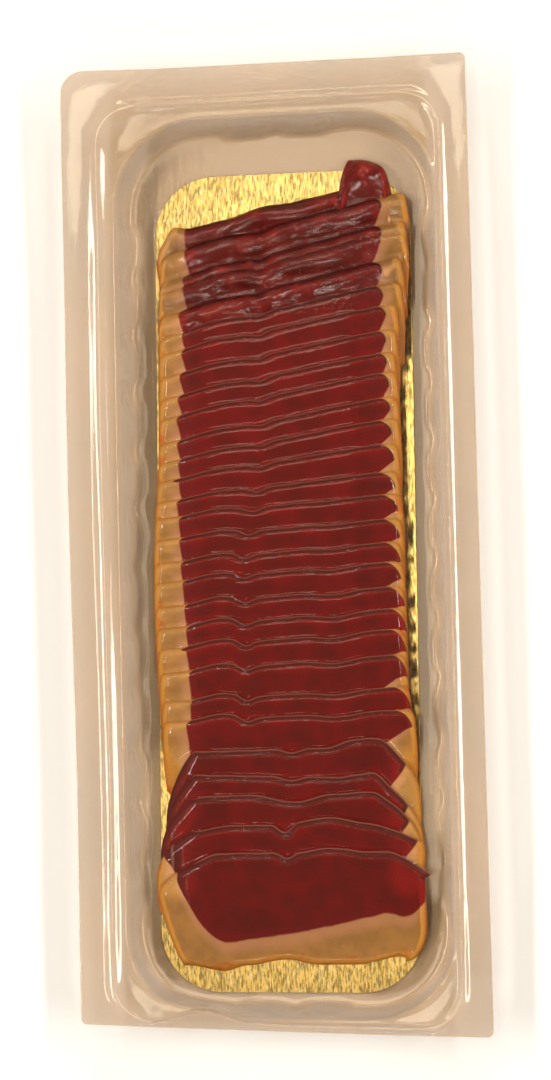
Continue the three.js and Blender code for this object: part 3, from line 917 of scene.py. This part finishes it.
def make_slice(k, thickness, material):
    """One slice: a grid shaped to its outline, and thickened downwards."""
    chance = random.Random(100 + k)
    left, right = ends_of(k)
    across = 150 if k == 0 or k >= LENS_FROM else 108
    along = 60 if k == LAST else 32
    power = 1.15 if k == LAST else 1.75
    turn = np.linspace(0, 1, across)
    part = lerp(turn, (1 - np.cos(math.pi * turn)) / 2, 0.35)
    x = np.broadcast_to(lerp(left, right, part), (along, across))
    high = top_of(k, x[0]) + 0.12 * wander(x[0], 0, chance.uniform(0, 90), 4.5)
    low = np.minimum(bottom_of(k, x[0]), high - 6)
    share = (np.linspace(0, 1, along) ** power)[:, None]
    y = lerp(high, low, share)
    slope = np.gradient(high, x[0])
    down = (high - y) / np.sqrt(1 + slope ** 2)
    inside = np.minimum(x - left, right - x)
    if k == LAST:
        new_left, new_right = last_ends_at(y)
        x = lerp(new_left, new_right, np.broadcast_to(part, x.shape))
        inside = np.minimum(x - new_left, new_right - x)
    else:
        scallop = 1.0 if k < JUMBLED else 0.55
        pulled = scallop * (1 - hump(down - 3.2, 4.8))
        if k < LENS_FROM:
            pulled = pulled + TUCK * smoothstep(down, 8.5, 14)
        near_left = 1 - smoothstep(x - left, 0, 8)
        near_right = 1 - smoothstep(right - x, 0, 8)
        x = x + pulled * near_left - (pulled + chance.uniform(-0.5, 0.5)) * near_right
    base = thickness * sag(x)
    if k == 0:
        base = base + ROLL["bulge"] * hump(np.hypot(x - ROLL["x"], y - ROLL["y"]), ROLL["radius"])
    ends = smoothstep(inside, -0.4, 1.4)
    width = 2.6 if k < JUMBLED else 1.3
    rise = np.clip(down / width, 0, 1)
    rounded = np.sqrt(1 - (1 - rise) ** 2) if k < JUMBLED else rise
    bevel = (0.1 + 0.9 * rounded) * ends * smoothstep(y - low, -0.6, 1.5)
    body = base * np.maximum(bevel, 0.08)
    relief = relief_of(k, x, y, down, chance) * ends
    top = underside_at(k, x, y) + body + relief
    piece = add_grid(f"duck_slice_{k + 1:02d}", across, along)
    place_points(piece, np.stack([x, y, top], -1).reshape(-1, 3))
    lean, rim = lean_of(k, x, y, high - y, chance)
    add_measure(piece, "down", down)
    add_measure(piece, "lean", lean)
    crust = np.minimum(down, rim)
    if k == 0:
        crust = crust + 3 * smoothstep(y, 103, 107)
    if k >= LENS_FROM:
        at_left = smoothstep(-x, 22, 28)
        crust = lerp(0.75, 0.4, at_left) * crust + 0.4 * at_left
    add_measure(piece, "crust", crust)
    add_measure(piece, "rind", np.minimum(inside, y - low))
    add_measure(piece, "tone", np.full(x.shape, chance.uniform(0, 1)))
    # The first slices are wet. They get a coat, and their colour holds painted sheen and painted shade in the
    # valleys between them.
    add_measure(piece, "wet", np.full(x.shape, 1.0 if k < JUMBLED else 0.0))
    group = piece.vertex_groups.new(name="body")
    for index, value in enumerate((body / body.max()).ravel()):
        group.add([index], float(value), "REPLACE")
    add_modifier(
        piece, "SOLIDIFY", thickness=0.92 * body.max() * MM, offset=1, vertex_group="body",
        thickness_vertex_group=0.05,
    )
    bpy.ops.object.shade_smooth_by_angle(angle=math.radians(60))
    finish_piece(piece, material, "meat", f"slice_{k + 1:02d}")


def close_to(value, place, half_width):
    """1 where a number is at a place, and 0 past a half width from it."""
    gap = value - place
    return gap.math("ABSOLUTE", gap).between(half_width, 0.25 * half_width)


def lean_colour(paint, settings, marks):
    """Red lean, with a brown crust along its outer edge and a pale painted highlight on the arris. On the
    first slices that edge band is dark red painted shade in the valleys between them, and pinkish patches
    there hold painted sheen.
    """
    meat = Vector(settings.meat)
    patch, grain, fine, edge, lean, crust, wet = (marks[name] for name in MARKS)
    bright = (meat.x * 1.16, meat.y * 1.0, meat.z * 1.15)
    brown = (meat.x * 0.8, meat.y * 1.15, meat.z * 0.95)
    red = paint.mix(patch.between(0.3, 0.7), brown, bright)
    red = paint.mix(lean.between(3.2, 0.3) * 0.5, red, (meat.x * 1.25, meat.y * 1.3, meat.z * 1.9))
    red = paint.mix(grain.between(0.45, 0.8) * 0.3, red, tuple(meat * 0.7))
    # Pinkish patches on the first slices: paler meat, with painted sheen of the film over it.
    red = paint.mix(wet * patch.between(0.5, 0.7) * 0.4, red, shade(150, 58, 46))
    # Painted shade: on the first slices the band along the top edge is dark red shade painted into the
    # valleys between the rolled slices. On the others it is the brown smoked crust.
    rim = paint.mix(wet, tuple(settings.crust), shade(58, 14, 14))
    red = paint.mix(edge.between(1.9, 0.5) * lean.between(-0.2, 0.3) * (0.75 + 0.25 * patch), red, rim)
    # Painted highlight: a pale line at the very top edge, and a fainter broken one on the crest, stand in for
    # the glints of the film where it bends over each slice. The first slices have none.
    second = close_to(crust, 1.45, 0.24) * fine.between(0.45, 0.6)
    pale = (close_to(crust, 0.1, 0.26) * (0.3 + 0.4 * patch) + second * 0.3) * (1 - wet)
    return paint.mix(pale, red, shade(158, 100, 80))


MARKS = ("patch", "grain", "fine", "edge", "lean", "crust", "wet")


def fat_colour(paint, settings, marks, down):
    """Tan fat that turns golden at the skin, with orange-brown stains and edges."""
    fat = Vector(settings.fat)
    patch, fine, lean = marks["patch"], marks["fine"], marks["lean"]
    rind = paint.measure("rind") + (fine - 0.5) * 0.9
    tan = paint.mix(patch.between(0.35, 0.65), tuple(fat * 0.84), tuple(fat * 1.04))
    tan = paint.mix(down.between(1.5, 4.5) * lean.between(-4.5, -1.0) * 0.7, tan, shade(204, 148, 108))
    tan = paint.mix(rind.between(3.4, 0.6) * 0.8, tan, tuple(settings.rind))
    stain = patch.between(0.54, 0.64) * rind.between(3.6, 1.0)
    tan = paint.mix(stain * 0.75, tan, shade(182, 86, 30))
    tan = paint.mix(down.between(0.8, 0.15) * 0.6, tan, shade(158, 92, 32))
    return paint.mix(rind.between(0.8, 0.1) * 0.75, tan, shade(160, 84, 24))


def meat_material(settings):
    """Moist smoked meat: red lean with a brown crust at its edge, then fat and a golden rind."""
    paint = Paint("smoked_duck")
    down = paint.measure("down")
    wet = paint.measure("wet")
    shift = paint.measure("tone") * 40
    patch = paint.noise((0.16, 0.16, 0.16), 3, 0.5, shift)
    grain = paint.noise((1.6, 0.5, 0.6), 4, 0.6, shift)
    fine = paint.noise((2.2, 2.2, 2.2), 3, 0.6, shift)
    crust = paint.measure("crust") + (patch - 0.5) * 0.5
    marks = {
        "patch": patch, "grain": grain, "fine": fine, "wet": wet, "crust": crust,
        "edge": crust + (fine - 0.5) * 0.7,
        "lean": paint.measure("lean") + (patch - 0.5) * 1.1 + (fine - 0.5) * 0.35,
    }
    red = lean_colour(paint, settings, marks)
    tan = fat_colour(paint, settings, marks, down)
    colour = paint.mix(marks["lean"].between(-0.3, 0.3), tan, red)
    bump = paint.bump(0.7 * grain + fine + wet * 2 * patch, 0.14, 0.5)
    return paint.finish(paint.node("BsdfPrincipled", {}, {
        "Base Color": colour,
        "Roughness": 0.45 + 0.2 * fine,
        "Specular IOR Level": 0.15,
        "Coat Weight": 0.03 + 0.3 * wet,
        "Coat Roughness": 0.1,
        "Normal": bump,
    }))


class DUCKPACK_OT_slices(bpy.types.Operator):
    """Make the slices, laid like roof tiles from the far end of the card"""
    bl_idname = "duckpack.make_slices"
    bl_label = "Make Slices"

    def execute(self, context):
        settings = context.scene.duckpack_slices
        material = meat_material(settings)
        for k in range(SLICE_COUNT):
            make_slice(k, settings.thickness / MM, material)
        return {"FINISHED"}


# ---------- film ----------

# Rows of the film's mesh between each step of the tray's profile and the next.
FILM_PARTS = [4, 2, 3, 2, 3, 3, 2, 3, 2, 2]
FILM_EDGE_ROWS = sum(FILM_PARTS)
FILM_COLUMNS = 70
FILM_ROWS = 690
HALF_ARC_STEPS = 12

# The middle of the heap as the film wraps it, rind and all.
FILM_MIDDLE = 3.5
SINKING_STEPS = 50

# For each side of a ring: the corner that it starts from, the one that it ends at, and the way each faces.
RING_SIDES = {
    "left": ((3, 225, 180), (2, 180, 135)),
    "right": ((0, -45, 0), (1, 0, 45)),
    "bottom": ((3, 225, 270), (0, 270, 315)),
    "top": ((2, 135, 90), (1, 90, 45)),
}


def film_steps():
    """The tray's profile from just inside its cut edge to its floor, in the rows of the film."""
    steps = TRAY_STEPS[1:FLOOR_STEP + 1]
    rows = []
    for i, count in enumerate(FILM_PARTS):
        for j in range(count):
            rows.append(mix_steps(steps[i], steps[i + 1], j / count))
    return rows + [mix_steps(steps[-2], steps[-1], 1)]


def mix_steps(first, second, part):
    mixed = {name: lerp(first[name], second[name], part) for name in ("notch", "cut")}
    for name in ("sides", "radii"):
        mixed[name] = [lerp(a, b, part) for a, b in zip(first[name], second[name])]
    return mixed


def side_points(step, side, count):
    """Points on one side of a ring, from the middle of one corner to the middle of the next."""
    left, right, bottom, top = step["sides"]
    radii = step["radii"]
    centres = [
        (right - radii[0], bottom + radii[0]), (right - radii[1], top - radii[1]),
        (left + radii[2], top - radii[2]), (left + radii[3], bottom + radii[3]),
    ]
    rows = []
    for corner, start, end in RING_SIDES[side]:
        angles = np.radians(np.linspace(start, end, HALF_ARC_STEPS))
        around = np.stack([np.cos(angles), np.sin(angles)], -1)
        rows.append(np.array(centres[corner]) + radii[corner] * around)
    path = np.concatenate(rows)
    length = np.concatenate([[0], np.cumsum(np.hypot(*np.diff(path, axis=0).T))])
    at = np.linspace(0, length[-1], count)
    return np.stack([np.interp(at, length, path[:, 0]), np.interp(at, length, path[:, 1])], -1)


def film_plan():
    """The film's points seen from above, as rows and columns that turn into rings near the edge."""
    steps = film_steps()
    last = FILM_EDGE_ROWS
    rows, columns = FILM_ROWS + 2 * last, FILM_COLUMNS + 2 * last
    plan = np.zeros((rows, columns, 2))
    share = np.zeros((rows, columns, 2))
    for d, step in enumerate(steps):
        plan[d:rows - d, d] = side_points(step, "left", rows - 2 * d)
        plan[d:rows - d, columns - 1 - d] = side_points(step, "right", rows - 2 * d)
        plan[d, d:columns - d] = side_points(step, "bottom", columns - 2 * d)
        plan[rows - 1 - d, d:columns - d] = side_points(step, "top", columns - 2 * d)
        share[d:rows - d, d:columns - d] = step["notch"], step["cut"]
    inner = plan[last:rows - last, last:columns - last]
    u = np.linspace(0, 1, inner.shape[1])[None, :, None]
    v = np.linspace(0, 1, inner.shape[0])[:, None, None]
    low, high = inner[:1].copy(), inner[-1:].copy()
    left, right = inner[:, :1].copy(), inner[:, -1:].copy()
    corners = lerp(lerp(low[:, :1], low[:, -1:], u), lerp(high[:, :1], high[:, -1:], u), v)
    inner[:] = lerp(low, high, v) + lerp(left, right, u) - corners
    row_depth = np.minimum(np.arange(rows), np.arange(rows)[::-1])[:, None]
    column_depth = np.minimum(np.arange(columns), np.arange(columns)[::-1])[None, :]
    depth = np.minimum(row_depth / 3, column_depth)
    share *= (1 - smoothstep(depth, last, last + 14))[..., None]
    x, y = uneven(plan[..., 0], plan[..., 1], share[..., 0], share[..., 1])
    return np.stack([x, y], -1)


def heights_under(points, names):
    """The highest surface of the named pieces below each point."""
    vertices, faces = [], []
    for name in names:
        mesh = bpy.data.objects[name].data
        start = len(vertices)
        vertices += [vertex.co.copy() for vertex in mesh.vertices]
        faces += [[start + index for index in face.vertices] for face in mesh.polygons]
    tree = BVHTree.FromPolygons(vertices, faces)
    found = []
    for x, y in points:
        hit = tree.ray_cast(Vector((x * MM, y * MM, 0.05)), Vector((0, 0, -1)))[0]
        if hit is None:
            raise RuntimeError(f"the film reaches past the tray at {x:.1f}, {y:.1f}")
        found.append(hit.z / MM)
    return np.array(found)


def softened(values):
    """A grid of values, each averaged with its neighbours."""
    result = values.copy()
    result[1:-1] = (values[:-2] + 2 * values[1:-1] + values[2:]) / 4
    result[:, 1:-1] = (result[:, :-2] + 2 * result[:, 1:-1] + result[:, 2:]) / 4
    return result


def drape(heights, plan, curl, fixed):
    """Lets a sheet sink onto heights. It bridges hollows that are tighter than its curl."""
    sheet = heights.copy()
    along = np.hypot(*np.moveaxis(np.diff(plan, axis=0), -1, 0))
    across = np.hypot(*np.moveaxis(np.diff(plan, axis=1), -1, 0))
    drop_along = 0.5 * curl * along[1:, 1:-1] * along[:-1, 1:-1]
    drop_across = 0.5 * curl * across[1:-1, 1:] * across[1:-1, :-1]
    for _ in range(SINKING_STEPS):
        over = (sheet[2:, 1:-1] + sheet[:-2, 1:-1]) / 2 - drop_along
        beside = (sheet[1:-1, 2:] + sheet[1:-1, :-2]) / 2 - drop_across
        free = np.maximum(over, beside)
        sheet[1:-1, 1:-1] = np.maximum(heights[1:-1, 1:-1], free)
        sheet[:fixed], sheet[-fixed:] = heights[:fixed], heights[-fixed:]
        sheet[:, :fixed], sheet[:, -fixed:] = heights[:, :fixed], heights[:, -fixed:]
    return sheet


def folds_of(sheet, plan):
    """How sharply the sheet bends over the slices, from 0 to 1."""
    bend = np.zeros(sheet.shape)
    along = np.maximum(np.hypot(*np.moveaxis(np.diff(plan, axis=0), -1, 0)), 0.1)
    slope = np.diff(sheet, axis=0) / along
    bend[1:-1] = np.abs(np.diff(slope, axis=0)) / along[1:]
    x, y = plan[..., 0], plan[..., 1]
    over_heap = (1 - smoothstep(np.abs(x - FILM_MIDDLE), 40, 43)) * (1 - smoothstep(np.abs(y + 6), 121, 126))
    return softened(softened(smoothstep(bend, 0.05, 0.3))) * over_heap


def over_late_ends(x, y):
    """1 over the ends of the late slices, where the film lies dull, and 0 elsewhere."""
    out = np.abs(x - FILM_MIDDLE)
    along = smoothstep(-y, 58, 64) * (1 - smoothstep(-y, 100, 106))
    return smoothstep(out, 27, 31) * along * (1 - smoothstep(out, 41, 44))


def film_material():
    """Clear film: it only adds its gloss to what lies under it, broken up where it folds."""
    paint = Paint("clear_film")
    crinkle = paint.measure("crinkle")
    wrinkle = paint.noise((0.55, 0.55, 0.55), 4, 0.6)
    ripple = paint.noise((0.12, 0.08, 0.1), 2)
    fold = paint.measure("fold")
    broken = paint.noise((1.0, 1.0, 1.0), 3, 0.6).between(0.5, 0.66)
    bump = paint.bump(wrinkle * (0.05 + crinkle) + 0.3 * ripple, 0.4, 0.6)
    gloss = paint.node("BsdfGlossy", {}, {"Color": (1, 1, 1), "Roughness": 0.045, "Normal": bump})
    clear = paint.node("BsdfTransparent", {}, {"Color": (1, 1, 1)})
    part = paint.node("Fresnel", {}, {"IOR": 1.36, "Normal": bump}) * (1 - fold * (0.9 - 0.65 * broken))
    return paint.finish(paint.node("MixShader", {}, {0: part, 1: clear, 2: gloss}))


class DUCKPACK_OT_film(bpy.types.Operator):
    """Drape the clear film over the slices and seal it to the flange"""
    bl_idname = "duckpack.drape_film"
    bl_label = "Drape Film"

    def execute(self, context):
        settings = context.scene.duckpack_film
        plan = film_plan()
        rows, columns, _ = plan.shape
        names = ["formed_tray", "foil_card"] + [f"duck_slice_{k + 1:02d}" for k in range(SLICE_COUNT)]
        found = heights_under(plan.reshape(-1, 2), names) + settings.clearance / MM
        ground = found.reshape(rows, columns)
        inner = slice(FILM_EDGE_ROWS, -FILM_EDGE_ROWS)
        ground[inner, inner] = np.maximum(softened(ground), ground - 0.25)[inner, inner]
        sheet = drape(ground, plan, settings.curl, sum(FILM_PARTS[:RIM_STEP - 1]))
        piece = add_grid("draped_film", columns, rows)
        place_points(piece, np.concatenate([plan, sheet[..., None]], -1).reshape(-1, 3))
        x, y = plan[..., 0], plan[..., 1]
        jumble = smoothstep(y, 62, 74) * (1 - smoothstep(np.abs(x - HEAP_MIDDLE), 40, 46))
        add_measure(piece, "crinkle", jumble)
        add_measure(piece, "fold", np.maximum(folds_of(sheet, plan) * (1 - jumble), over_late_ends(x, y)))
        bpy.ops.object.shade_smooth()
        finish_piece(piece, film_material(), "film", "top_film")
        return {"FINISHED"}


# ---------- stage ----------

FOCAL_LENGTH = 69.96
SENSOR = 36

# Lamps: name, place, the point it faces, size across and along in metres, power in watts, colour.
LAMPS = [
    ("overhead", (-0.105, 0.105, 1.0), (-0.105, 0.105, 0), (0.2, 0.64), 2.1, (1.0, 0.9, 0.72)),
    ("left_strip", (-0.7, 0.05, 0.8), (0, 0, 0), (1.1, 0.09), 6.4, (1.0, 0.93, 0.84)),
    ("right_strip", (0.75, 0.05, 0.75), (0, 0, 0), (1.1, 0.09), 6.4, (1.0, 0.93, 0.84)),
    ("far_end", (0.1, 1.05, 0.85), (0, 0, 0), (0.9, 0.11), 3.6, (1.0, 0.93, 0.84)),
    ("near_fill", (0.0, -1.1, 0.8), (0, 0, 0), (0.9, 0.11), 3.4, (1.0, 0.93, 0.84)),
]
WORLD_STRENGTH = 0.2
WORLD_COLOUR = (1.0, 0.82, 0.6)


def floor_material(settings):
    paint = Paint("pale_floor")
    mottle = paint.noise((0.02, 0.02, 0.02), 2)
    pale = Vector(settings.floor)
    colour = paint.mix(mottle, tuple(pale * 0.99), tuple(pale))
    return paint.finish(paint.node("BsdfPrincipled", {}, {"Base Color": colour, "Roughness": 0.9}))


def add_floor(settings):
    bpy.ops.mesh.primitive_plane_add(size=6, location=(0, 0, -0.00005))
    floor = bpy.context.object
    floor.name = floor.data.name = "studio_floor"
    floor.data.materials.append(floor_material(settings))


def add_lamps():
    for name, place, facing, (across, along), power, colour in LAMPS:
        bpy.ops.object.light_add(type="AREA", location=place)
        lamp = bpy.context.object
        lamp.name = name
        lamp.data.shape = "RECTANGLE"
        lamp.data.size = across
        lamp.data.size_y = along
        lamp.data.energy = power
        lamp.data.color = colour
        aim = Vector(facing) - Vector(place)
        lamp.rotation_euler = aim.to_track_quat("-Z", "Y").to_euler()


def add_camera(settings):
    """The camera looks at the target from its azimuth and elevation, turned a little about its line."""
    azimuth, elevation = settings.azimuth, settings.elevation
    back = Vector((
        math.sin(azimuth) * math.cos(elevation),
        -math.cos(azimuth) * math.cos(elevation),
        math.sin(elevation),
    ))
    right = Vector((0, 1, 0)).cross(back).normalized()
    up = back.cross(right)
    turned_right = right * math.cos(settings.roll) + up * math.sin(settings.roll)
    turned_up = up * math.cos(settings.roll) - right * math.sin(settings.roll)
    place = Vector(settings.target) + back * settings.distance
    bpy.ops.object.camera_add()
    camera = bpy.context.object
    camera.name = "photo_camera"
    axes = Matrix((turned_right, turned_up, back)).transposed().to_4x4()
    camera.matrix_world = Matrix.Translation(place) @ axes
    camera.data.sensor_width = SENSOR
    camera.data.lens = FOCAL_LENGTH
    camera.data.clip_start = 0.01
    bpy.context.scene.camera = camera


class DUCKPACK_OT_stage(bpy.types.Operator):
    """Make the floor, the lamps and the camera"""
    bl_idname = "duckpack.set_stage"
    bl_label = "Set Stage"

    def execute(self, context):
        settings = context.scene.duckpack_stage
        scene = context.scene
        scene.view_settings.view_transform = "Standard"
        world = bpy.data.worlds.new("dim_studio")
        world.use_nodes = True
        world.node_tree.nodes["Background"].inputs["Color"].default_value = (*WORLD_COLOUR, 1)
        world.node_tree.nodes["Background"].inputs["Strength"].default_value = WORLD_STRENGTH
        scene.world = world
        add_floor(settings)
        add_lamps()
        add_camera(settings)
        return {"FINISHED"}


# ---------- panel ----------

class DUCKPACK_PT_sidebar(bpy.types.Panel):
    bl_idname = "DUCKPACK_PT_sidebar"
    bl_label = "Duck Pack"
    bl_space_type = "VIEW_3D"
    bl_region_type = "UI"
    bl_category = "Duck Pack"

    def draw(self, context):
        for name, group, operator in STEPS:
            box = self.layout.box()
            settings = getattr(context.scene, name)
            for key in group.__annotations__:
                box.prop(settings, key)
            box.operator(operator.bl_idname)


STEPS = [
    ("duckpack_stage", DUCKPACK_PG_stage, DUCKPACK_OT_stage),
    ("duckpack_tray", DUCKPACK_PG_tray, DUCKPACK_OT_tray),
    ("duckpack_card", DUCKPACK_PG_card, DUCKPACK_OT_card),
    ("duckpack_slices", DUCKPACK_PG_slices, DUCKPACK_OT_slices),
    ("duckpack_film", DUCKPACK_PG_film, DUCKPACK_OT_film),
]


def register():
    for name, group, operator in STEPS:
        bpy.utils.register_class(group)
        bpy.utils.register_class(operator)
        setattr(bpy.types.Scene, name, PointerProperty(type=group))
    bpy.utils.register_class(DUCKPACK_PT_sidebar)


def unregister():
    bpy.utils.unregister_class(DUCKPACK_PT_sidebar)
    for name, group, operator in reversed(STEPS):
        delattr(bpy.types.Scene, name)
        bpy.utils.unregister_class(operator)
        bpy.utils.unregister_class(group)


def main():
    register()
    bpy.ops.duckpack.set_stage()
    bpy.ops.duckpack.make_tray()
    bpy.ops.duckpack.make_card()
    bpy.ops.duckpack.make_slices()
    bpy.ops.duckpack.drape_film()


if __name__ == "__main__":
    main()
